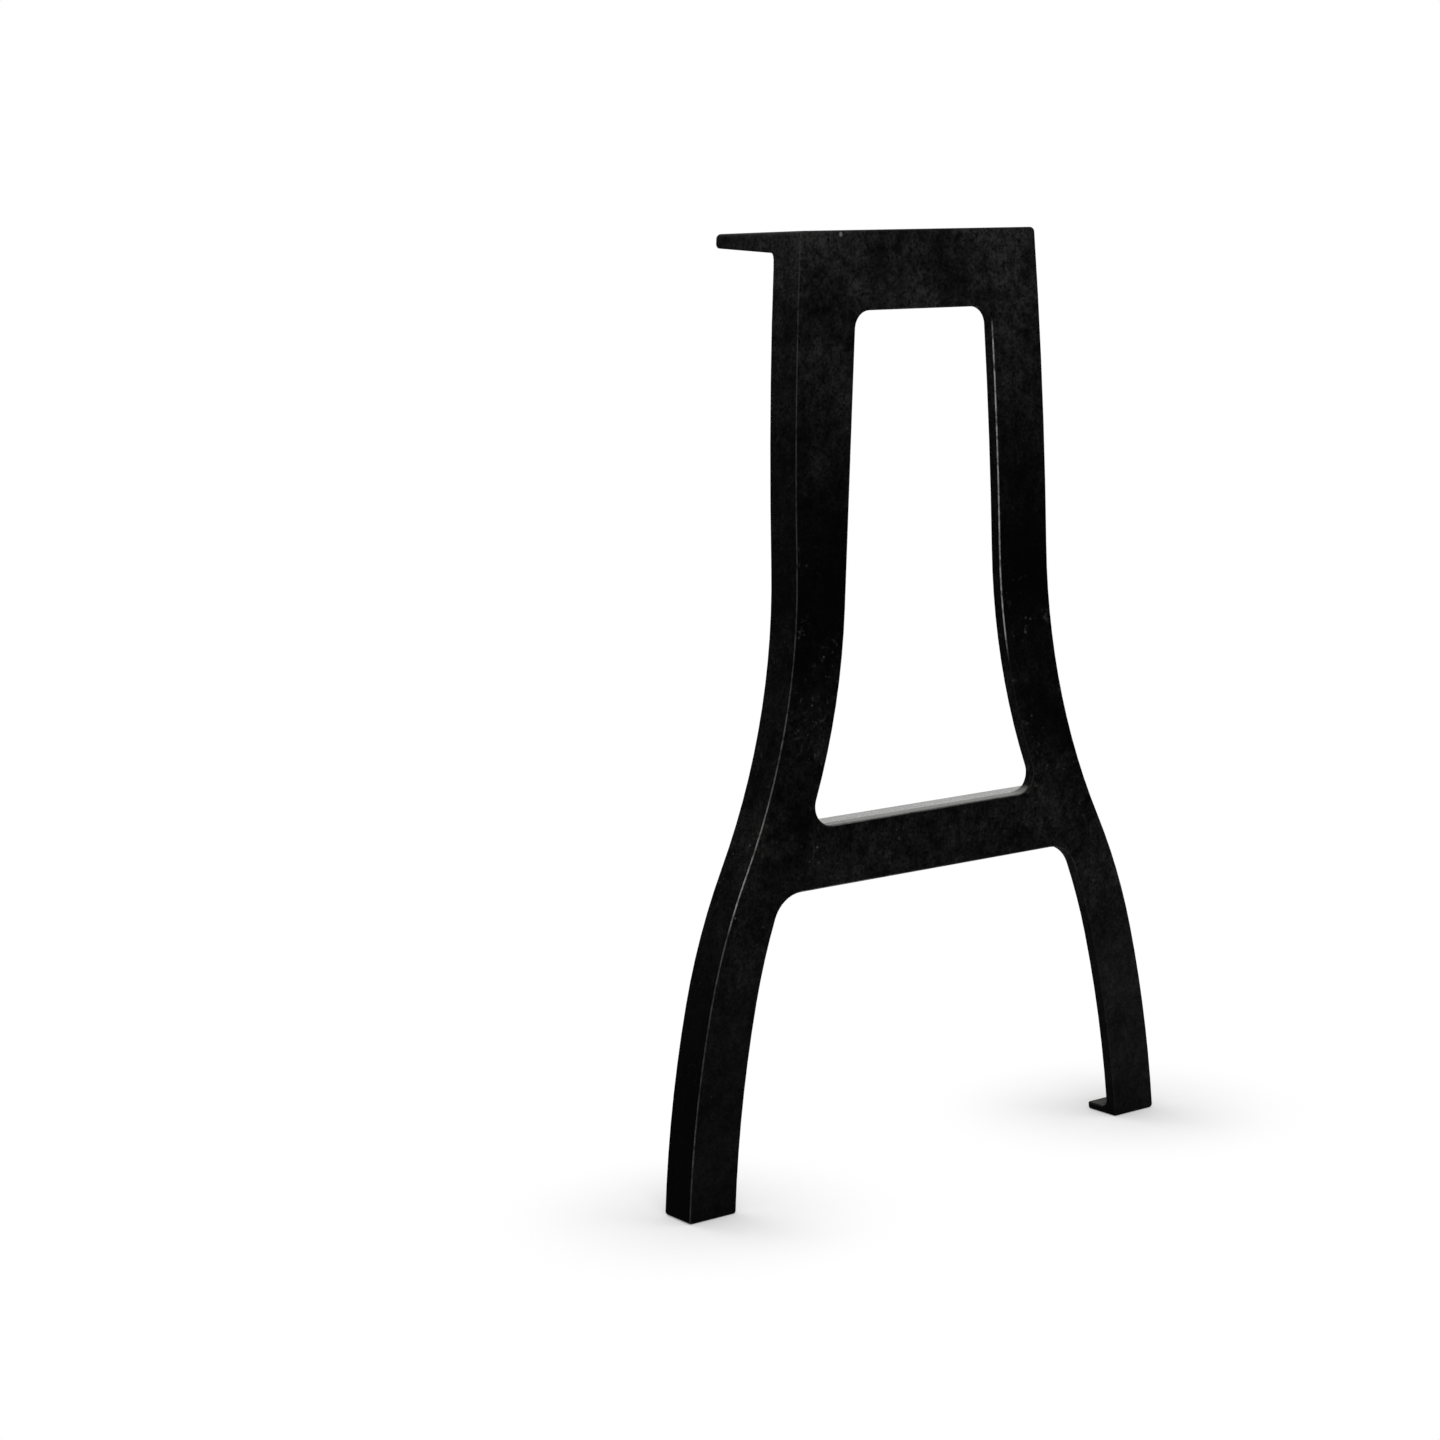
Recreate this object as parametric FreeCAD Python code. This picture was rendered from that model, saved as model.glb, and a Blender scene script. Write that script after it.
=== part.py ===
import FreeCAD, Part
import math
import os
from FreeCAD import Vector

# Cast iron trestle table leg, cast in one piece.
# Millimetres, Z up. X runs from foot to foot, Y from the plain outer face in under the table.
# The origin is on the floor, midway between the feet and midway through the overall depth.

# Overall sizes
HEIGHT = 711.0
FOOT_HALF_SPREAD = 232.5
HEAD_HALF_WIDTH = 112.0

# Outer edge of a side, from the floor up, as tangent arcs: the height where each ends, and its
# radius, below zero where it curves outward. One more arc runs on from the last to the head.
FOOT_LEAN = 3.9
EDGE_ARCS = ((155.0, 930.0), (251.0, 455.0), (469.0, -495.0))

# Web, the flat plate behind the outer face
WEB_THICKNESS = 10.0
RIGHT_COLUMN_WIDTH = 49.0
LEFT_COLUMN_WIDTH = 46.0
LEFT_COLUMN_WIDENS_FROM = 437.0
LEG_WIDTH = 42.5
HEAD_BEAM_DEPTH = 58.0
BAR_UNDERSIDE = 231.0
BAR_DEPTH = 46.5
WEB_OVER_LEDGE = 1.0
OPENING_FOOT_RADIUS = 15.0
OPENING_HEAD_RADIUS = 14.0
ARCH_RADIUS = 26.0

# Flange round the outer edge, head plate, crossbar ledge and toe plates
FLANGE_DEPTH = 32.0
FLANGE_LIP = 6.0
HEAD_PLATE_LIP = 15.0
LEDGE_LIP = 5.0
TOE_PLATE_LIP = 6.0
ROOT_FILLET = 6.0
POCKET_CORNER_RADIUS = 7.0

# Fixing lugs at the ends of the head plate
LUG_REACH = 71.0
LUG_WIDTH = 52.0
LUG_TIP_THICKNESS = 10.5
LUG_TIP_RADIUS = 3.5
LUG_CORNER_RADIUS = 5.0
LUG_SIDE_FILLET = 6.0
LUG_UNDER_FILLET = 4.0
SCREW_HOLE_RADIUS = 3.5
SCREW_HOLE_SETBACK = 24.0

# Rounded outer edges, and the smaller break given to the edges behind the web
EDGE_ROUND = 2.0
LUG_EDGE_ROUND = 1.5
EDGE_BREAK = 1.0
HEAD_CORNER_RADIUS = 4.0
FOOT_CORNER_RADIUS = 3.0

# How far a cutting solid runs past the face that it opens
OVERCUT = 2.0

# How near an edge lies to a face or a place to count as being there
NEAR = 0.01

# Places that follow from the sizes
OVERALL_DEPTH = FLANGE_DEPTH + LUG_REACH
OUTER_FACE = -OVERALL_DEPTH / 2
WEB_BACK = OUTER_FACE + WEB_THICKNESS
FLANGE_EDGE = OUTER_FACE + FLANGE_DEPTH
LUG_TIP = OUTER_FACE + OVERALL_DEPTH
BAR_TOP = BAR_UNDERSIDE + BAR_DEPTH
LEDGE_TOP = BAR_TOP - WEB_OVER_LEDGE
HEAD_BEAM_UNDERSIDE = HEIGHT - HEAD_BEAM_DEPTH
LUG_INNER_SIDE = HEAD_HALF_WIDTH - LUG_WIDTH
LUG_CENTRE = HEAD_HALF_WIDTH - LUG_WIDTH / 2
SCREW_HOLE_Y = LUG_TIP - SCREW_HOLE_SETBACK


def outer_edge():
    """Arcs of the outer edge: start and end height, half width and lean at the start, radius."""
    arcs = []
    low = 0.0
    across = FOOT_HALF_SPREAD
    lean = math.radians(FOOT_LEAN)
    for high, radius in EDGE_ARCS:
        arcs.append((low, high, across, lean, radius))
        end_lean = math.asin(math.sin(lean) + (high - low) / radius)
        across += radius * (math.cos(end_lean) - math.cos(lean))
        low = high
        lean = end_lean
    rise = HEIGHT - low
    chord_lean = math.atan2(across - HEAD_HALF_WIDTH, rise)
    radius = rise / math.cos(chord_lean) / (2 * math.sin(chord_lean - lean))
    return arcs + [(low, HEIGHT, across, lean, radius)]


def arc_at(z):
    return next(arc for arc in outer_edge() if z <= arc[1])


def lean_at(z):
    """How far the outer edge leans in at the height z, in radians."""
    low, high, across, lean, radius = arc_at(z)
    return math.asin(math.sin(lean) + (z - low) / radius)


def half_width(z):
    """Half the leg's width at the height z."""
    low, high, across, lean, radius = arc_at(z)
    return across + radius * (math.cos(lean_at(z)) - math.cos(lean))


def edges_between(side, y, inset, low, high):
    """Arcs of one outer edge between two heights, in the plane at y and moved in by the inset."""
    place = lambda z: Vector(side * (half_width(z) - inset), y, z)
    edges = []
    for arc in outer_edge():
        start = max(arc[0], low)
        end = min(arc[1], high)
        if end > start:
            edges.append(Part.Arc(place(start), place((start + end) / 2), place(end)).toShape())
    return edges


def closed_between(left, right):
    """Closed wire of two sides, both drawn upwards, and level lines over and under them."""
    top = Part.makeLine(left[-1].lastVertex().Point, right[-1].lastVertex().Point)
    bottom = Part.makeLine(right[0].firstVertex().Point, left[0].firstVertex().Point)
    return Part.Wire(Part.__sortEdges__(left + [top] + right + [bottom]))


def side_to_side(y, inset, low, high):
    """Closed wire in the plane at y, between both outer edges moved in by the inset."""
    left = edges_between(-1, y, inset, low, high)
    right = edges_between(1, y, inset, low, high)
    return closed_between(left, right)


def prism(wire, depth):
    return Part.Face(wire).extrude(Vector(0, depth, 0))


def runs_through(edge):
    """True for an edge that runs from front to back."""
    box = edge.BoundBox
    return box.XLength < NEAR and box.ZLength < NEAR


def lies_at(edge, y):
    """True for an edge that lies in the plane at y."""
    box = edge.BoundBox
    return abs(box.YMin - y) < NEAR and abs(box.YMax - y) < NEAR


def at_corner(edge, z):
    """True for an edge that runs from front to back at the height z."""
    return runs_through(edge) and abs(edge.BoundBox.ZMin - z) < NEAR


def rounded(shape, radius, wanted):
    return shape.makeFillet(radius, [edge for edge in shape.Edges if wanted(edge)])


def bar(depth):
    """The whole outline as one solid bar, with its head and foot corners rounded."""
    plate = prism(side_to_side(OUTER_FACE, 0.0, 0.0, HEIGHT), depth)
    plate = rounded(plate, HEAD_CORNER_RADIUS, lambda edge: at_corner(edge, HEIGHT))
    return rounded(plate, FOOT_CORNER_RADIUS, lambda edge: at_corner(edge, 0.0))


def lug_plan(side):
    """Lug seen from above: square outer corner, rounded inner corner, fillet at the head plate."""
    root = FLANGE_EDGE - FLANGE_LIP
    tip_start = LUG_TIP - LUG_CORNER_RADIUS
    fillet_end = FLANGE_EDGE + LUG_SIDE_FILLET
    outer = HEAD_HALF_WIDTH + OVERCUT
    inner = LUG_INNER_SIDE
    fillet_side = inner - LUG_SIDE_FILLET
    bend = 1 - math.sqrt(0.5)
    base = Vector(0, 0, HEIGHT - 2 * HEAD_PLATE_LIP)
    at = lambda x, y: base + Vector(side * x, y, 0)
    edges = [
        Part.makeLine(at(fillet_side, root), at(outer, root)),
        Part.makeLine(at(outer, root), at(outer, LUG_TIP)),
        Part.makeLine(at(outer, LUG_TIP), at(inner + LUG_CORNER_RADIUS, LUG_TIP)),
        Part.Arc(
            at(inner + LUG_CORNER_RADIUS, LUG_TIP),
            at(inner + LUG_CORNER_RADIUS * bend, LUG_TIP - LUG_CORNER_RADIUS * bend),
            at(inner, tip_start),
        ).toShape(),
        Part.makeLine(at(inner, tip_start), at(inner, fillet_end)),
        Part.Arc(
            at(inner, fillet_end),
            at(inner - LUG_SIDE_FILLET * bend, FLANGE_EDGE + LUG_SIDE_FILLET * bend),
            at(fillet_side, FLANGE_EDGE),
        ).toShape(),
        Part.makeLine(at(fillet_side, FLANGE_EDGE), at(fillet_side, root)),
    ]
    return Part.Face(Part.Wire(Part.__sortEdges__(edges))).extrude(Vector(0, 0, 3 * HEAD_PLATE_LIP))


def lug_profile():
    """Lug seen from the side: level top, underside rising from its fillet to a rounded tip."""
    root = FLANGE_EDGE - FLANGE_LIP
    reach = HEAD_HALF_WIDTH + OVERCUT
    corners = [
        Vector(-reach, root, HEIGHT + OVERCUT),
        Vector(-reach, LUG_TIP, HEIGHT + OVERCUT),
        Vector(-reach, LUG_TIP, HEIGHT - LUG_TIP_THICKNESS),
        Vector(-reach, FLANGE_EDGE + LUG_UNDER_FILLET, HEIGHT - HEAD_PLATE_LIP),
        Vector(-reach, root, HEIGHT - HEAD_PLATE_LIP),
    ]
    profile = Part.Face(Part.makePolygon(corners + corners[:1])).extrude(Vector(2 * reach, 0, 0))
    under_tip = lambda edge: lies_at(edge, LUG_TIP) and edge.BoundBox.ZMax < HEIGHT
    return rounded(profile, LUG_TIP_RADIUS, under_tip)


def gusset(side):
    """Fillet under the lug, where its underside meets the flange's free edge."""
    corner = Vector(side * (HEAD_HALF_WIDTH - FLANGE_LIP), FLANGE_EDGE, HEIGHT - HEAD_PLATE_LIP)
    reach = LUG_UNDER_FILLET
    inset = -FLANGE_LIP / 2
    bend = reach * (1 - math.sqrt(0.5))
    at = lambda y, z: corner + Vector(0, y, z)
    edges = [
        Part.makeLine(at(inset, -reach), at(0, -reach)),
        Part.Arc(at(0, -reach), at(bend, -bend), at(reach, 0)).toShape(),
        Part.makeLine(at(reach, 0), at(reach, FLANGE_LIP / 2)),
        Part.makeLine(at(reach, FLANGE_LIP / 2), at(inset, FLANGE_LIP / 2)),
        Part.makeLine(at(inset, FLANGE_LIP / 2), at(inset, -reach)),
    ]
    face = Part.Face(Part.Wire(Part.__sortEdges__(edges)))
    return face.extrude(Vector(side * (FLANGE_LIP + OVERCUT), 0, 0))


def lugs():
    """Both lugs with their fillets, flush with the sides of the columns."""
    outline = bar(OVERALL_DEPTH)
    plan = lug_plan(-1).fuse(lug_plan(1))
    flats = outline.common(lug_profile()).common(plan)
    gussets = outline.common(gusset(-1).fuse(gusset(1)))
    return flats.fuse(gussets)


def pocket(low, high):
    """Space inside the flange between two heights, with its root fillets."""
    space = prism(side_to_side(WEB_BACK, FLANGE_LIP, low, high), FLANGE_DEPTH)
    space = rounded(space, POCKET_CORNER_RADIUS, runs_through)
    return rounded(space, ROOT_FILLET, lambda edge: lies_at(edge, WEB_BACK))


def head_pocket():
    """Between the crossbar's ledge and the head plate."""
    return pocket(LEDGE_TOP, HEIGHT - HEAD_PLATE_LIP)


def foot_pocket():
    """Between the toe plates and the underside of the crossbar's ledge."""
    return pocket(TOE_PLATE_LIP, LEDGE_TOP - LEDGE_LIP)


def left_column_edge():
    """Inner edge of the left column: along its outer edge, then straight on to the head beam."""
    y = OUTER_FACE
    edges = edges_between(-1, y, LEFT_COLUMN_WIDTH, BAR_TOP, LEFT_COLUMN_WIDENS_FROM)
    bend = edges[-1].lastVertex().Point
    rise = HEAD_BEAM_UNDERSIDE - LEFT_COLUMN_WIDENS_FROM
    lean = lean_at(LEFT_COLUMN_WIDENS_FROM)
    return edges + [Part.makeLine(bend, bend + Vector(rise * math.tan(lean), 0, rise))]


def head_opening():
    """Tall gap between the columns."""
    right = edges_between(1, OUTER_FACE, RIGHT_COLUMN_WIDTH, BAR_TOP, HEAD_BEAM_UNDERSIDE)
    gap = prism(closed_between(left_column_edge(), right), FLANGE_DEPTH)
    gap = rounded(gap, OPENING_FOOT_RADIUS, lambda edge: at_corner(edge, BAR_TOP))
    return rounded(gap, OPENING_HEAD_RADIUS, lambda edge: at_corner(edge, HEAD_BEAM_UNDERSIDE))


def arch():
    """Gap between the legs."""
    gap = prism(side_to_side(OUTER_FACE, LEG_WIDTH, 0.0, BAR_UNDERSIDE), FLANGE_DEPTH)
    return rounded(gap, ARCH_RADIUS, lambda edge: at_corner(edge, BAR_UNDERSIDE))


def screw_hole(side):
    base = Vector(side * LUG_CENTRE, SCREW_HOLE_Y, HEIGHT - HEAD_PLATE_LIP - OVERCUT)
    return Part.makeCylinder(SCREW_HOLE_RADIUS, HEAD_PLATE_LIP + 2 * OVERCUT, base)


def along(edge, space):
    """True for an edge that lies on the skin of the space from end to end."""
    places = [Part.Vertex(point) for point in edge.discretize(5)]
    return all(space.distToShape(place)[0] < NEAR for place in places)


def edges_along(solid, y, space):
    """The solid's edges that lie in the plane at y and along the skin of the space."""
    return [edge for edge in solid.Edges if lies_at(edge, y) and along(edge, space)]


def on_lug_top(edge):
    """True for an edge round the top of a lug, past the flange's free edge."""
    box = edge.BoundBox
    return box.ZMin > HEIGHT - NEAR and box.YMin > FLANGE_EDGE - NEAR and box.YMax > FLANGE_EDGE + NEAR


def framed():
    """The bar with its outer edges rounded and both gaps cut through it."""
    on_faces = lambda edge: lies_at(edge, OUTER_FACE) or lies_at(edge, FLANGE_EDGE)
    solid = rounded(bar(FLANGE_DEPTH), EDGE_ROUND, on_faces)
    for gap in (head_opening(), arch()):
        solid = solid.cut(gap)
        solid = solid.makeFillet(EDGE_ROUND, edges_along(solid, OUTER_FACE, gap))
    return solid


def hollowed(solid):
    """The frame with its pockets, and the edges behind the web broken.

    The arch's edges run on over the toe plates into the mouth of the lower pocket.
    """
    upper = head_pocket()
    solid = solid.cut(upper).cut(foot_pocket())
    for y, space in ((WEB_BACK, head_opening()), (WEB_BACK, arch()), (FLANGE_EDGE, upper)):
        solid = solid.makeChamfer(EDGE_BREAK, edges_along(solid, y, space))
    return solid


def casting():
    """The whole leg, with its lugs and their screw holes."""
    solid = hollowed(framed()).fuse(lugs()).removeSplitter()
    solid = rounded(solid, LUG_EDGE_ROUND, on_lug_top)
    for side in (-1, 1):
        solid = solid.cut(screw_hole(side))
    return solid


if __name__ == "__main__":
    os.makedirs("parts", exist_ok=True)
    leg = casting()
    leg.exportStep("parts/trestle_leg.step")
    print("trestle_leg", len(leg.Solids), "solid", leg.isValid(), round(leg.Volume / 1000), "cm3")
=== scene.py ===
import math

import bpy
from bpy.props import FloatProperty, FloatVectorProperty, PointerProperty
from mathutils import Matrix, Vector


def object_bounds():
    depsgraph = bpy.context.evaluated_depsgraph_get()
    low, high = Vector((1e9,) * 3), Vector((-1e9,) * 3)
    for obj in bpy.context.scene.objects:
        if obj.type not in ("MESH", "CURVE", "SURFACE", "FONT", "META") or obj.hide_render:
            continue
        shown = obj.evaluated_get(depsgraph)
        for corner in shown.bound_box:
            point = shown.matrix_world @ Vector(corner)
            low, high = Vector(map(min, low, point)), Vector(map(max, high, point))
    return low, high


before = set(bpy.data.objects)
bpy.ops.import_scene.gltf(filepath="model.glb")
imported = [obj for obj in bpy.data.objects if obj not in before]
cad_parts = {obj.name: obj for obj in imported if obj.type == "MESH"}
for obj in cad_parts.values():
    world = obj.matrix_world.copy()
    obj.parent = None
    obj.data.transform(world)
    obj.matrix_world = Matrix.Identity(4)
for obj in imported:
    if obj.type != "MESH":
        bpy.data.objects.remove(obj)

bl_info = {
    "name": "Cast Iron Trestle Leg",
    "version": (1, 0, 0),
    "blender": (4, 5, 0),
    "location": "View3D > Sidebar > Trestle Leg",
    "description": "Gives a cast iron trestle leg its blackened skin and sets it in a plain pale studio",
    "category": "Object",
}

CAD_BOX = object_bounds()
LEG_NODE = "trestle_leg"

# Measures of the casting, in metres, as the frame has them
WEB = 0.010
FLANGE_DEPTH = 0.032
FOOT_WIDTH = 0.0425
OUTER_FACE = CAD_BOX[0][1]
HEAD_TOP = CAD_BOX[1][2]

# Back of the web, where the crossbar's ledge begins
LEDGE_FRONT = OUTER_FACE + WEB

# Middle of either foot's sole
SOLE_X = CAD_BOX[1][0] - FOOT_WIDTH / 2
SOLE_Y = OUTER_FACE + FLANGE_DEPTH / 2

# The camera that sees the leg as the photograph does, in metres, degrees and millimetres
CAMERA_PLACE = (-1.4155, -1.7444, 0.6889)
CAMERA_YAW = 54.18
CAMERA_PITCH = -8.76
CAMERA_ROLL = -1.464
CAMERA_LENS = 73.92
CAMERA_SENSOR = 36.0
NEAREST_SEEN = 0.05
FURTHEST_SEEN = 60.0

# Each lamp's name, place, size and share of the lamps' power; all point at the leg's middle
LAMPS = (
    ("key_lamp", (-1.1, -2.0, 2.3), 1.4, 1.0),
    ("fill_lamp", (1.8, -1.8, 1.4), 1.6, 0.5),
    ("back_lamp", (-0.6, 2.0, 1.8), 1.4, 0.6),
)
LEG_MIDDLE = (0.0, 0.0, 0.36)

# The floor: a wide disc a hair under the soles, and how white it is right at a foot
FLOOR_RADIUS = 12.0
FLOOR_CORNERS = 48
FLOOR_DROP = 0.0002
WHITE_AT_FOOT = 0.2

# The next tables give a share by height: each stop is a height in metres and a share.
# How much grey bloom shows, with painted shade on the mid-columns and painted light on the head and legs,
# and how much painted light the sides get
BLOOM_AND_SHADE_BY_HEIGHT = (
    (0.0, 0.13), (0.06, 0.19), (0.14, 0.2), (0.25, 0.24), (0.34, 0.11), (0.45, 0.02), (0.56, 0.15),
    (0.64, 0.32), (0.711, 0.41),
)
SIDE_LIGHT_BY_HEIGHT = (
    (0.0, 0.0), (0.19, 0.0), (0.28, 0.09), (0.36, 0.09), (0.46, 0.05), (0.6, 0.0), (0.711, 0.0),
)

# How strong the clouds and blotches are: the legs are the calmest
MOTTLED = ((0.0, 0.5), (0.12, 0.55), (0.21, 0.85), (0.3, 1.0), (0.711, 1.0))

# How far the edges are rubbed bare, and how strongly a highlight is painted along their crests
EDGE_WEAR_AND_HIGHLIGHT = (
    (0.0, 0.1), (0.06, 0.2), (0.12, 0.12), (0.2, 0.2), (0.237, 1.0), (0.27, 0.6), (0.32, 0.28),
    (0.42, 0.12), (0.6, 0.1), (0.711, 0.06),
)

# Where the pale specks lie: mostly where the columns bow inwards
SPECKLED = ((0.0, 0.0), (0.12, 0.15), (0.24, 0.5), (0.3, 1.0), (0.43, 0.9), (0.52, 0.3), (0.711, 0.15))

# How much of the dust stays on faces that look up: the table keeps it off the head
DUST = ((0.0, 0.35), (0.2, 0.55), (0.28, 0.55), (0.5, 0.25), (0.711, 0.2))

# Where wiping has polished the faces that look up: the crossbar's ledge alone
POLISHED = ((0.0, 0.0), (0.22, 0.0), (0.26, 1.0), (0.3, 1.0), (0.34, 0.0), (0.711, 0.0))

# Noise runs from minus this to plus this, and stays mostly within half of it
NOISE_REACH = 2.0

# How deep clouds, blotches and grain cut into the thinness, and how wiping draws them out
CLOUD_DEPTH = 1.05
MOTTLE_DEPTH = 0.9
GRAIN_DEPTH = 1.1
WIPED = (1.0, 1.0, 0.9)

# Streaks in the ledge's dust, along the crossbar
STREAKED = (0.12, 1.0, 1.0)
STREAK_SIZE = 0.006
STREAK_DEPTH = 0.35

# Down the legs painted shade darkens the sides and painted light lightens the right foot
LEG_CHANGES = (0.08, 0.26)
SIDE_SHADE_AT_FEET = 0.9
RIGHT_FOOT_LIGHT = 0.95

# Fade from the left half of the leg to the right one, across its middle
LEFT_TO_RIGHT = (-0.05, 0.05)

# Fades by the normal: from upright faces to level ones, by its part along Z, from front faces to
# sides, by its part along X, and from faces that look in to those that look out, by that times X
UPRIGHT_TO_LEVEL = (0.6, 0.97)
FRONT_TO_SIDE = (0.75, 0.95)
IN_TO_OUT = (-0.01, 0.01)

# A crest lies where the normal's part along Y is this, with a fade to either side, and where the
# metal ends within reach, which a tenth of full occlusion is enough to show
CREST_LEAN = math.sqrt(0.5)
CREST_WIDTH = (0.08, 0.24)
CORNER_SAMPLES = 8
CORNER_GAIN = 10.0

# Rubbed edges and the highlight painted along them: size of their gaps, where those lie in the noise,
# the share of the mark on faces that look in, and the share that the right half is spared
GAP_SIZE = 0.008
GAPS = (-1.2, 0.5)
EDGE_MARK_INSIDE = 0.25
SPARED_ON_RIGHT = 0.6

# Front edges of the tall opening's upper part, where a highlight is painted in the bare-metal colour: half
# width, start, end and depth, each as a fade
OPENING_HIGHLIGHT_SIDE = (0.085, 0.09)
OPENING_HIGHLIGHT_START = (0.38, 0.41)
OPENING_HIGHLIGHT_END = (0.63, 0.645)
OPENING_HIGHLIGHT_BACK = (OUTER_FACE + 0.0035, OUTER_FACE + 0.0055)

# A small pale spot under the head's top edge, in the bare-metal colour
PALE_SPOT = (-0.0756, OUTER_FACE, HEAD_TOP - 0.003)
PALE_SPOT_REACH = 0.0024
PALE_SPOT_CORE = 0.25
PALE_SPOT_STRENGTH = 0.3

# Dots: the smallest radius as a share of the largest, and where a dot starts to fade
SMALLEST_DOT = 0.4
DOT_FADE = 0.5

# Pale specks and scabs, in clusters, and black pits; a share is of the cells that have one
SPECK_RADIUS = 0.0013
SPECK_SHARE = 0.65
SPECK_STRENGTH = 0.16
CLUSTER_SIZE = 0.03
CLUSTERS = (-0.3, 0.5)
SCAB_SIZE = 0.0045
SCABS = (0.35, 1.1)
SCAB_STRENGTH = 0.04
PIT_RADIUS = 0.0012
PIT_SHARE = 0.5

# Relief of the casting's ripples and blotches, and the roughness that the blotches add
RIPPLE_SIZE = 0.022
RIPPLE_HEIGHT = 0.00016
MOTTLE_HEIGHT = 0.0001
MOTTLE_ROUGHNESS = 0.06

# Gloss of the polished ledge: over the web, how much more behind it, and half the step between
POLISH_ON_WEB = 0.45
POLISH_BEHIND = 0.5
POLISH_STEP = 0.001

# The blacking reflects almost nothing by itself; a thin clear coat gives it its gloss
BLACKING_SPECULAR = 0.002
COAT_ROUGHNESS = 0.16
COAT_IOR = 1.5


class CastSkinSettings(bpy.types.PropertyGroup):
    """Colours and sizes of the blackened cast skin."""

    black: FloatVectorProperty(
        name="Black", description="Colour where the blacking is thick", subtype="COLOR",
        size=3, min=0.0, max=1.0, default=(0.00012, 0.00012, 0.00012),
    )
    # This grey also carries the painted shade and light by height and side
    grey: FloatVectorProperty(
        name="Grey Bloom", description="Colour where the blacking is thin", subtype="COLOR",
        size=3, min=0.0, max=1.0, default=(0.018, 0.018, 0.0177),
    )
    # Also the colour of the highlight painted along the edges' crests and in the tall opening
    bare_and_highlight: FloatVectorProperty(
        name="Bare Metal", description="Colour of rubbed edges and specks", subtype="COLOR",
        size=3, min=0.0, max=1.0, default=(0.42, 0.415, 0.405),
    )
    dust: FloatVectorProperty(
        name="Dust", description="Colour of the dust on faces that look up", subtype="COLOR",
        size=3, min=0.0, max=1.0, default=(0.24, 0.236, 0.228),
    )
    bloom_size: FloatProperty(
        name="Bloom Size", description="Size of the smoky clouds", unit="LENGTH",
        min=0.005, max=0.2, default=0.055,
    )
    mottle_size: FloatProperty(
        name="Mottle Size", description="Size of the blotches within the clouds", unit="LENGTH",
        min=0.001, max=0.05, default=0.009,
    )
    grain_size: FloatProperty(
        name="Grain Size", description="Size of the sand grain left by the mould", unit="LENGTH",
        min=0.0003, max=0.01, default=0.0022,
    )
    grain_height: FloatProperty(
        name="Grain Height", description="Height of the sand grain", unit="LENGTH",
        min=0.0, max=0.001, default=0.00022,
    )
    pit_spacing: FloatProperty(
        name="Pit Spacing", description="Distance between neighbouring pits", unit="LENGTH",
        min=0.002, max=0.1, default=0.011,
    )
    speck_spacing: FloatProperty(
        name="Speck Spacing", description="Distance between neighbouring pale specks",
        unit="LENGTH", min=0.005, max=0.2, default=0.0085,
    )
    # Also how far the painted highlight reaches from an edge
    edge_reach: FloatProperty(
        name="Edge Reach", description="How far the rubbed metal reaches from an edge", unit="LENGTH",
        min=0.0005, max=0.01, default=0.0026,
    )
    roughness: FloatProperty(
        name="Roughness", description="Roughness of the satin blacking", subtype="FACTOR",
        min=0.0, max=1.0, default=0.5,
    )
    gloss: FloatProperty(
        name="Gloss", description="Gloss of the blacking on upright faces", subtype="FACTOR",
        min=0.0, max=1.0, default=0.01,
    )


class StudioSettings(bpy.types.PropertyGroup):
    """Floor, light and camera of the studio."""

    floor_colour: FloatVectorProperty(
        name="Floor", description="Colour of the floor", subtype="COLOR",
        size=3, min=0.0, max=1.0, default=(0.96, 0.96, 0.96),
    )
    shadow_reach: FloatProperty(
        name="Shadow Reach", description="Distance from a foot at which the floor has faded to white",
        unit="LENGTH", min=0.02, max=5.0, default=0.16,
    )
    room_light: FloatProperty(
        name="Room Light", description="Strength of the light from all round",
        min=0.0, max=2.0, default=0.6,
    )
    lamp_light: FloatProperty(
        name="Lamp Light", description="Strength of the soft lamps", unit="POWER",
        min=0.0, max=500.0, default=22.0,
    )
    lens: FloatProperty(
        name="Lens", description="Focal length of the camera", unit="CAMERA",
        min=10.0, max=300.0, default=CAMERA_LENS,
    )


def new_material(name):
    """A material of that name with no nodes yet."""
    material = bpy.data.materials.new(name)
    material.use_nodes = True
    material.node_tree.nodes.clear()
    return material


def add_node(tree, kind, **settings):
    """A node with its settings; a setting whose name is an input's sets that input."""
    node = tree.nodes.new(kind)
    for name, value in settings.items():
        if name in node.bl_rna.properties:
            setattr(node, name, value)
        else:
            node.inputs[name.replace("_", " ")].default_value = value
    return node


def calculate(tree, operation, first, second=0.0, third=0.0):
    """A Math node of the two or three values, which are numbers or sockets."""
    node = tree.nodes.new("ShaderNodeMath")
    node.operation = operation
    for socket, value in zip(node.inputs, (first, second, third)):
        if isinstance(value, bpy.types.NodeSocket):
            tree.links.new(value, socket)
        else:
            socket.default_value = value
    return node.outputs[0]


def blend_colours(tree, share, first, second):
    """The first colour where the share is 0 and the second where it is 1."""
    node = tree.nodes.new("ShaderNodeMix")
    node.data_type = "RGBA"
    for socket, value in ((node.inputs[0], share), (node.inputs[6], first), (node.inputs[7], second)):
        if isinstance(value, bpy.types.NodeSocket):
            tree.links.new(value, socket)
        else:
            socket.default_value = value
    return node.outputs[2]


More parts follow.
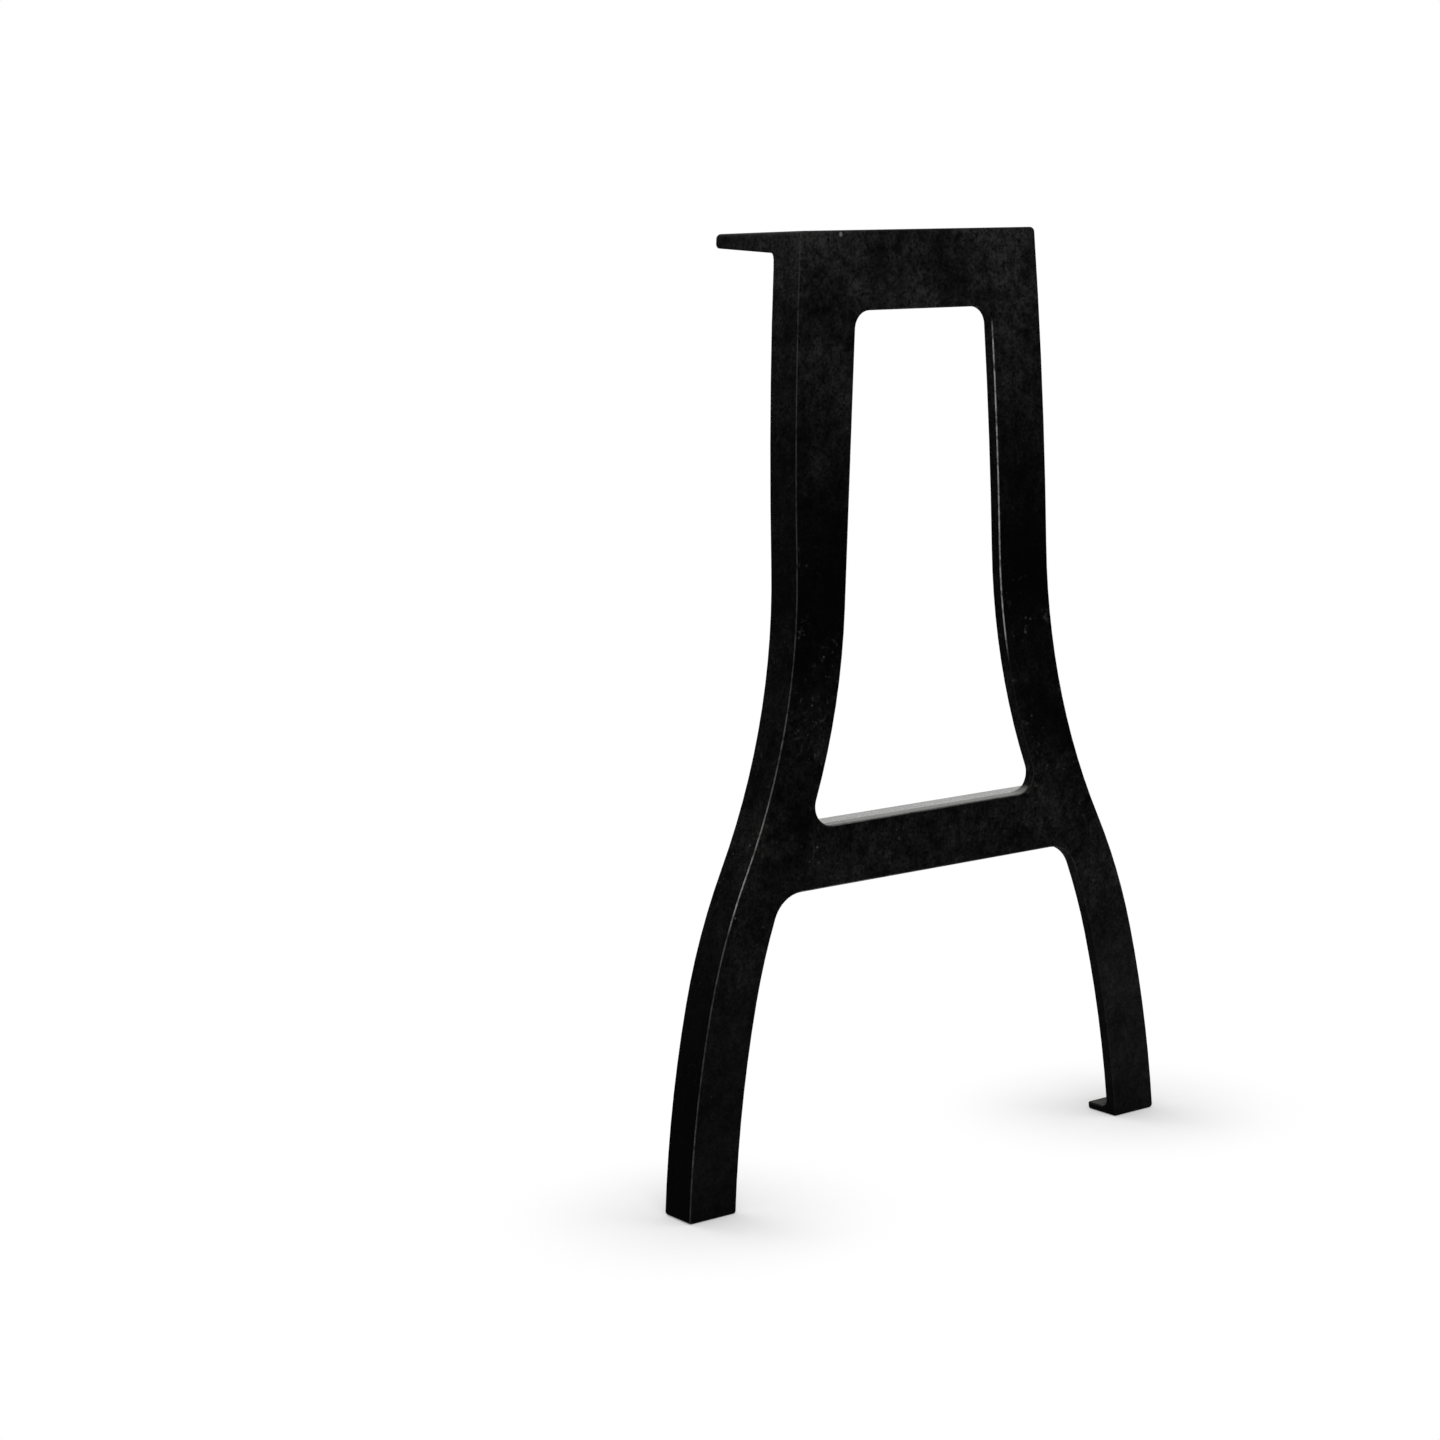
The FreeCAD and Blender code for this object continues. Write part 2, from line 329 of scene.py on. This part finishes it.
def ramp_between(tree, value, low, high):
    """0 where the value is under low, 1 where it is over high, and smooth between them."""
    node = add_node(tree, "ShaderNodeMapRange", interpolation_type="SMOOTHSTEP")
    tree.links.new(value, node.inputs["Value"])
    node.inputs["From Min"].default_value = low
    node.inputs["From Max"].default_value = high
    return node.outputs["Result"]


def inverse(tree, share):
    """1 where the share is 0, and 0 where it is 1."""
    return calculate(tree, "SUBTRACT", 1.0, share)


def noise_on(tree, place, size, detail=2.0, rough=0.5):
    """Noise of patches of about that size, 0 on average."""
    node = add_node(tree, "ShaderNodeTexNoise", Scale=1.0 / size, Detail=detail, Roughness=rough)
    tree.links.new(place, node.inputs["Vector"])
    return calculate(tree, "MULTIPLY_ADD", node.outputs["Fac"], 2 * NOISE_REACH, -NOISE_REACH)


def dots_on(tree, place, spacing, radius, share):
    """Round dots up to that radius on a share of a jumbled grid's cells, stronger or fainter by chance."""
    node = add_node(tree, "ShaderNodeTexVoronoi", Scale=1.0 / spacing)
    tree.links.new(place, node.inputs["Vector"])
    chance = tree.nodes.new("ShaderNodeSeparateColor")
    tree.links.new(node.outputs["Color"], chance.inputs[0])
    kept = calculate(tree, "LESS_THAN", chance.outputs[0], share)
    largest = radius / spacing
    smallest = SMALLEST_DOT * largest
    reach = calculate(tree, "MULTIPLY_ADD", chance.outputs[1], largest - smallest, smallest)
    nearness = calculate(tree, "DIVIDE", node.outputs["Distance"], reach)
    dot = inverse(tree, ramp_between(tree, nearness, DOT_FADE, 1.0))
    return calculate(tree, "MULTIPLY", calculate(tree, "MULTIPLY", dot, kept), chance.outputs[2])


def stretched(tree, place, scale):
    """The place with each axis scaled, so that patches on it are drawn out."""
    node = add_node(tree, "ShaderNodeMapping", Scale=scale)
    tree.links.new(place, node.inputs["Vector"])
    return node.outputs["Vector"]


def by_height(tree, place, stops):
    """A smooth value by height, through stops of height and value."""
    top = stops[-1][0]
    node = tree.nodes.new("ShaderNodeValToRGB")
    node.color_ramp.interpolation = "EASE"
    tree.links.new(calculate(tree, "DIVIDE", split_vector(tree, place)[2], top), node.inputs[0])
    elements = node.color_ramp.elements
    for height, value in stops[1:-1]:
        elements.new(height / top)
    for element, (height, value) in zip(elements, stops):
        element.position = height / top
        element.color = (value, value, value, 1.0)
    return node.outputs["Color"]


def raise_skin(tree, height, distance, under=None):
    """Bumps the surface by the height times the distance, on top of what is under it."""
    node = add_node(tree, "ShaderNodeBump", Distance=distance, Strength=1.0)
    tree.links.new(height, node.inputs["Height"])
    if under is not None:
        tree.links.new(under, node.inputs["Normal"])
    return node.outputs["Normal"]


def split_vector(tree, vector):
    """The three parts of the vector, each as a socket."""
    node = tree.nodes.new("ShaderNodeSeparateXYZ")
    tree.links.new(vector, node.inputs[0])
    return node.outputs["X"], node.outputs["Y"], node.outputs["Z"]


def outward(tree, place, normal):
    """1 on faces that look away from the leg's middle plane, 0 on those that look in towards it."""
    x = split_vector(tree, place)[0]
    lean = split_vector(tree, normal)[0]
    return ramp_between(tree, calculate(tree, "MULTIPLY", x, lean), *IN_TO_OUT)


def on_right(tree, place):
    """0 on the left half of the leg and 1 on the right one."""
    return ramp_between(tree, split_vector(tree, place)[0], *LEFT_TO_RIGHT)


def facing_up(tree, normal):
    """1 on faces that look up, where dust settles, and 0 on upright ones."""
    return ramp_between(tree, split_vector(tree, normal)[2], *UPRIGHT_TO_LEVEL)


def facing_aside(tree, normal):
    """1 on the sides of the columns and legs, and 0 on their outer and inner faces."""
    side = calculate(tree, "ABSOLUTE", split_vector(tree, normal)[0])
    return ramp_between(tree, side, *FRONT_TO_SIDE)


def crests_on(tree, normal, reach):
    """1 along the crest of each rounded corner of the outer face and of the flange's free edge."""
    lean = calculate(tree, "ABSOLUTE", split_vector(tree, normal)[1])
    off_crest = calculate(tree, "ABSOLUTE", calculate(tree, "SUBTRACT", lean, CREST_LEAN))
    crest = inverse(tree, ramp_between(tree, off_crest, *CREST_WIDTH))
    ending = add_node(
        tree, "ShaderNodeAmbientOcclusion", inside=True, only_local=True, samples=CORNER_SAMPLES,
        Distance=reach,
    )
    corner = calculate(tree, "MULTIPLY_ADD", ending.outputs["AO"], -CORNER_GAIN, CORNER_GAIN)
    return calculate(tree, "MULTIPLY", crest, calculate(tree, "MINIMUM", corner, 1.0))


def opening_highlight(tree, place):
    """1 on the front edges of the tall opening's upper part, where a highlight is painted."""
    x, y, z = split_vector(tree, place)
    share = inverse(tree, ramp_between(tree, calculate(tree, "ABSOLUTE", x), *OPENING_HIGHLIGHT_SIDE))
    share = calculate(tree, "MULTIPLY", share, ramp_between(tree, z, *OPENING_HIGHLIGHT_START))
    share = calculate(tree, "SUBTRACT", share, ramp_between(tree, z, *OPENING_HIGHLIGHT_END))
    share = calculate(tree, "SUBTRACT", share, ramp_between(tree, y, *OPENING_HIGHLIGHT_BACK))
    return calculate(tree, "MAXIMUM", share, 0.0)


def in_pale_spot(tree, place):
    """1 in the small pale spot under the head's top edge, and 0 away from it."""
    away = add_node(tree, "ShaderNodeVectorMath", operation="DISTANCE")
    away.inputs[1].default_value = PALE_SPOT
    tree.links.new(place, away.inputs[0])
    outside = ramp_between(tree, away.outputs["Value"], PALE_SPOT_CORE * PALE_SPOT_REACH, PALE_SPOT_REACH)
    return inverse(tree, outside)


def behind_web(tree, place):
    """0 over the web's own thickness and 1 behind it, where wiping leaves the blacking glossier."""
    y = split_vector(tree, place)[1]
    return ramp_between(tree, y, LEDGE_FRONT - POLISH_STEP, LEDGE_FRONT + POLISH_STEP)


def light_and_shade_at_feet(tree, place, normal):
    """How the colour changes down the legs: painted shade on the sides, painted light on the right foot."""
    low = inverse(tree, ramp_between(tree, split_vector(tree, place)[2], *LEG_CHANGES))
    change = calculate(tree, "MULTIPLY", facing_aside(tree, normal), -SIDE_SHADE_AT_FEET)
    change = calculate(tree, "MULTIPLY_ADD", on_right(tree, place), RIGHT_FOOT_LIGHT, change)
    return calculate(tree, "MAXIMUM", calculate(tree, "MULTIPLY_ADD", change, low, 1.0), 0.0)


def bloom_and_painted_shade(tree, place, normal, patches):
    """How much grey bloom shows, with painted shade and light by height and side, broken up by patches of
    noise and depth.
    """
    thin = calculate(tree, "MULTIPLY", facing_aside(tree, normal), by_height(tree, place, SIDE_LIGHT_BY_HEIGHT))
    thin = calculate(tree, "ADD", thin, by_height(tree, place, BLOOM_AND_SHADE_BY_HEIGHT))
    thin = calculate(tree, "MULTIPLY", thin, light_and_shade_at_feet(tree, place, normal))
    mottled = by_height(tree, place, MOTTLED)
    for noise, depth in patches:
        cut = calculate(tree, "MULTIPLY", mottled, depth)
        uneven = calculate(tree, "MAXIMUM", calculate(tree, "MULTIPLY_ADD", noise, cut, 1.0), 0.0)
        thin = calculate(tree, "MULTIPLY", thin, uneven)
    return thin


def settled_dust(tree, place, level):
    """How much dust lies on the level faces, in streaks along the crossbar."""
    streak = noise_on(tree, stretched(tree, place, STREAKED), STREAK_SIZE, detail=3.0, rough=0.6)
    dusty = calculate(tree, "MULTIPLY_ADD", streak, STREAK_DEPTH, 1.0)
    dusty = calculate(tree, "MULTIPLY", dusty, by_height(tree, place, DUST))
    return calculate(tree, "MULTIPLY", dusty, level)


def edge_wear_and_highlight(tree, place, normal):
    """How strongly an edge shows bare metal and a painted highlight: by height, less inside and on the
    right, fully on the tall opening's painted highlight.
    """
    exposed = calculate(
        tree, "MULTIPLY_ADD", outward(tree, place, normal), 1.0 - EDGE_MARK_INSIDE, EDGE_MARK_INSIDE
    )
    spared = calculate(tree, "MULTIPLY_ADD", on_right(tree, place), -SPARED_ON_RIGHT, 1.0)
    edge_mark = calculate(tree, "MULTIPLY", exposed, spared)
    edge_mark = calculate(tree, "MULTIPLY", edge_mark, by_height(tree, place, EDGE_WEAR_AND_HIGHLIGHT))
    return calculate(tree, "ADD", edge_mark, opening_highlight(tree, place))


def make_cast_skin(settings):
    """Blackened cast iron: smoky satin black with painted shade and light, sand grain, pits, pale specks,
    and rubbed edges with a painted highlight.
    """
    material = new_material("blackened_cast_iron")
    tree = material.node_tree
    place = tree.nodes.new("ShaderNodeTexCoord").outputs["Object"]
    true_normal = tree.nodes.new("ShaderNodeNewGeometry").outputs["Normal"]
    level = facing_up(tree, true_normal)
    black = (*settings.black, 1.0)
    bare_and_highlight = (*settings.bare_and_highlight, 1.0)

    wiped = stretched(tree, place, WIPED)
    cloud = noise_on(tree, wiped, settings.bloom_size, detail=5.0, rough=0.6)
    mottle = noise_on(tree, wiped, settings.mottle_size, detail=4.0, rough=0.62)
    grain = noise_on(tree, place, settings.grain_size, detail=3.0, rough=0.6)
    patches = ((cloud, CLOUD_DEPTH), (mottle, MOTTLE_DEPTH), (grain, GRAIN_DEPTH))
    # thin is the grey bloom together with the painted shade and light by height and side
    thin = bloom_and_painted_shade(tree, place, true_normal, patches)
    colour = blend_colours(tree, thin, black, (*settings.grey, 1.0))
    dusty = settled_dust(tree, place, level)
    colour = blend_colours(tree, dusty, colour, (*settings.dust, 1.0))

    broken = ramp_between(tree, noise_on(tree, place, GAP_SIZE, detail=4.0, rough=0.65), *GAPS)
    # Along the crests the bare-metal colour stands for wear and for a painted highlight
    crest = calculate(tree, "MULTIPLY", crests_on(tree, true_normal, settings.edge_reach), broken)
    wear_and_highlight = calculate(tree, "MULTIPLY", crest, edge_wear_and_highlight(tree, place, true_normal))
    colour = blend_colours(tree, wear_and_highlight, colour, bare_and_highlight)
    pale_spot = calculate(tree, "MULTIPLY", in_pale_spot(tree, place), broken)
    colour = blend_colours(tree, calculate(tree, "MULTIPLY", pale_spot, PALE_SPOT_STRENGTH), colour, bare_and_highlight)

    clustered = ramp_between(tree, noise_on(tree, place, CLUSTER_SIZE), *CLUSTERS)
    clustered = calculate(tree, "MULTIPLY", clustered, by_height(tree, place, SPECKLED))
    speck = dots_on(tree, place, settings.speck_spacing, SPECK_RADIUS, SPECK_SHARE)
    speck = calculate(tree, "MULTIPLY", speck, clustered)
    colour = blend_colours(tree, calculate(tree, "MULTIPLY", speck, SPECK_STRENGTH), colour, bare_and_highlight)
    scab = ramp_between(tree, noise_on(tree, place, SCAB_SIZE, rough=0.55), *SCABS)
    scab = calculate(tree, "MULTIPLY", scab, clustered)
    colour = blend_colours(tree, calculate(tree, "MULTIPLY", scab, SCAB_STRENGTH), colour, bare_and_highlight)
    pit = dots_on(tree, place, settings.pit_spacing, PIT_RADIUS, PIT_SHARE)
    colour = blend_colours(tree, pit, colour, black)

    ripple = noise_on(tree, place, RIPPLE_SIZE, detail=3.0)
    normal = raise_skin(tree, ripple, RIPPLE_HEIGHT)
    normal = raise_skin(tree, mottle, MOTTLE_HEIGHT, normal)
    relief = calculate(tree, "ADD", calculate(tree, "SUBTRACT", grain, pit), speck)
    normal = raise_skin(tree, relief, settings.grain_height / 2, normal)

    roughness = calculate(tree, "MULTIPLY_ADD", mottle, MOTTLE_ROUGHNESS, settings.roughness)
    polish = calculate(tree, "MULTIPLY_ADD", behind_web(tree, place), POLISH_BEHIND, POLISH_ON_WEB)
    polish = calculate(tree, "MULTIPLY", polish, by_height(tree, place, POLISHED))
    polish = calculate(tree, "MULTIPLY_ADD", polish, level, settings.gloss)

    shader = add_node(
        tree, "ShaderNodeBsdfPrincipled", Specular_IOR_Level=BLACKING_SPECULAR, Metallic=0.0,
        Coat_Roughness=COAT_ROUGHNESS, Coat_IOR=COAT_IOR,
    )
    for name, socket in (
        ("Base Color", colour), ("Roughness", roughness), ("Normal", normal),
        ("Coat Weight", polish), ("Coat Normal", normal),
    ):
        tree.links.new(socket, shader.inputs[name])
    output = tree.nodes.new("ShaderNodeOutputMaterial")
    tree.links.new(shader.outputs[0], output.inputs["Surface"])
    return material


def seen_directly(tree):
    """1 for rays from the camera, in a mirror or through glass, and 0 for rays that light things."""
    path = tree.nodes.new("ShaderNodeLightPath")
    share = calculate(tree, "MAXIMUM", path.outputs["Is Camera Ray"], path.outputs["Is Glossy Ray"])
    return calculate(tree, "MAXIMUM", share, path.outputs["Is Transmission Ray"])


def make_floor_paint(settings):
    """Pale floor that keeps the shadow round each foot and fades to plain white away from it."""
    material = new_material("pale_floor")
    tree = material.node_tree
    place = tree.nodes.new("ShaderNodeTexCoord").outputs["Object"]
    x, y = split_vector(tree, place)[:2]
    along = calculate(tree, "SUBTRACT", calculate(tree, "ABSOLUTE", x), SOLE_X)
    across = calculate(tree, "SUBTRACT", y, SOLE_Y)
    square = calculate(tree, "MULTIPLY_ADD", along, along, calculate(tree, "MULTIPLY", across, across))
    distance = calculate(tree, "SQRT", square)
    faded = ramp_between(tree, distance, 0.0, settings.shadow_reach)
    faded = calculate(tree, "MULTIPLY_ADD", faded, 1.0 - WHITE_AT_FOOT, WHITE_AT_FOOT)
    faded = calculate(tree, "MULTIPLY", faded, seen_directly(tree))
    paint = add_node(tree, "ShaderNodeBsdfDiffuse", Color=(*settings.floor_colour, 1.0))
    white = add_node(tree, "ShaderNodeEmission", Color=(1.0, 1.0, 1.0, 1.0), Strength=1.0)
    mix = tree.nodes.new("ShaderNodeMixShader")
    tree.links.new(faded, mix.inputs[0])
    tree.links.new(paint.outputs[0], mix.inputs[1])
    tree.links.new(white.outputs[0], mix.inputs[2])
    output = tree.nodes.new("ShaderNodeOutputMaterial")
    tree.links.new(mix.outputs[0], output.inputs["Surface"])
    return material


def make_floor(settings):
    """A wide flat disc under the feet."""
    turn = 2 * math.pi / FLOOR_CORNERS
    corners = [
        (FLOOR_RADIUS * math.cos(turn * n), FLOOR_RADIUS * math.sin(turn * n), -FLOOR_DROP)
        for n in range(FLOOR_CORNERS)
    ]
    mesh = bpy.data.meshes.new("studio_floor")
    mesh.from_pydata(corners, [], [tuple(range(FLOOR_CORNERS))])
    floor = bpy.data.objects.new("studio_floor", mesh)
    bpy.context.scene.collection.objects.link(floor)
    mesh.materials.append(make_floor_paint(settings))


def light_room(settings):
    """Plain white room, dimmer for the light that it gives than it looks."""
    world = bpy.data.worlds.new("white_room")
    bpy.context.scene.world = world
    world.use_nodes = True
    tree = world.node_tree
    tree.nodes.clear()
    gain = calculate(tree, "MULTIPLY", seen_directly(tree), 1.0 - settings.room_light)
    strength = calculate(tree, "ADD", gain, settings.room_light)
    room = add_node(tree, "ShaderNodeBackground", Color=(1.0, 1.0, 1.0, 1.0))
    tree.links.new(strength, room.inputs["Strength"])
    output = tree.nodes.new("ShaderNodeOutputWorld")
    tree.links.new(room.outputs[0], output.inputs["Surface"])


def hang_lamp(name, place, size, power):
    """A square soft lamp that points at the leg's middle."""
    lamp = bpy.data.lights.new(name, "AREA")
    lamp.shape = "SQUARE"
    lamp.size = size
    lamp.energy = power
    holder = bpy.data.objects.new(name, lamp)
    bpy.context.scene.collection.objects.link(holder)
    aim = (Vector(LEG_MIDDLE) - Vector(place)).to_track_quat("-Z", "Y")
    holder.matrix_world = Matrix.Translation(place) @ aim.to_matrix().to_4x4()


def set_camera(settings):
    """Stands the camera where the photograph was taken, level but for a slight roll."""
    data = bpy.data.cameras.new("photo_camera")
    data.lens = settings.lens
    data.sensor_width = CAMERA_SENSOR
    data.clip_start = NEAREST_SEEN
    data.clip_end = FURTHEST_SEEN
    camera = bpy.data.objects.new("photo_camera", data)
    bpy.context.scene.collection.objects.link(camera)
    yaw, pitch, roll = (math.radians(a) for a in (CAMERA_YAW, CAMERA_PITCH, CAMERA_ROLL))
    ahead = Vector((math.cos(yaw) * math.cos(pitch), math.sin(yaw) * math.cos(pitch), math.sin(pitch)))
    level = Vector((math.sin(yaw), -math.cos(yaw), 0.0))
    upright = level.cross(ahead)
    right = math.cos(roll) * level + math.sin(roll) * upright
    up = -math.sin(roll) * level + math.cos(roll) * upright
    turn = Matrix((right, up, -ahead)).transposed()
    camera.matrix_world = Matrix.Translation(CAMERA_PLACE) @ turn.to_4x4()
    bpy.context.scene.camera = camera


class OBJECT_OT_finish_trestle_leg(bpy.types.Operator):
    """Give the cast leg its blackened skin"""

    bl_idname = "object.finish_trestle_leg"
    bl_label = "Finish Trestle Leg"

    def execute(self, context):
        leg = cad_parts[LEG_NODE]
        leg.data.materials.clear()
        leg.data.materials.append(make_cast_skin(context.scene.cast_skin))
        return {"FINISHED"}


class SCENE_OT_set_studio(bpy.types.Operator):
    """Set up the floor, the lights and the camera"""

    bl_idname = "scene.set_trestle_studio"
    bl_label = "Set Up Studio"

    def execute(self, context):
        settings = context.scene.trestle_studio
        make_floor(settings)
        light_room(settings)
        for name, place, size, share in LAMPS:
            hang_lamp(name, place, size, settings.lamp_light * share)
        set_camera(settings)
        context.scene.view_settings.view_transform = "Standard"
        return {"FINISHED"}


class VIEW3D_PT_trestle_leg(bpy.types.Panel):
    """Lists the leg's settings and steps"""

    bl_label = "Trestle Leg"
    bl_idname = "VIEW3D_PT_trestle_leg"
    bl_space_type = "VIEW_3D"
    bl_region_type = "UI"
    bl_category = "Trestle Leg"

    def draw(self, context):
        for group, step in (
            (context.scene.cast_skin, OBJECT_OT_finish_trestle_leg),
            (context.scene.trestle_studio, SCENE_OT_set_studio),
        ):
            box = self.layout.box()
            for name in group.__annotations__:
                box.prop(group, name)
            box.operator(step.bl_idname)


CLASSES = (
    CastSkinSettings,
    StudioSettings,
    OBJECT_OT_finish_trestle_leg,
    SCENE_OT_set_studio,
    VIEW3D_PT_trestle_leg,
)


def register():
    for item in CLASSES:
        bpy.utils.register_class(item)
    bpy.types.Scene.cast_skin = PointerProperty(type=CastSkinSettings)
    bpy.types.Scene.trestle_studio = PointerProperty(type=StudioSettings)


def unregister():
    del bpy.types.Scene.trestle_studio
    del bpy.types.Scene.cast_skin
    for item in reversed(CLASSES):
        bpy.utils.unregister_class(item)


def main():
    register()
    bpy.ops.object.finish_trestle_leg()
    bpy.ops.scene.set_trestle_studio()


if __name__ == "__main__":
    main()
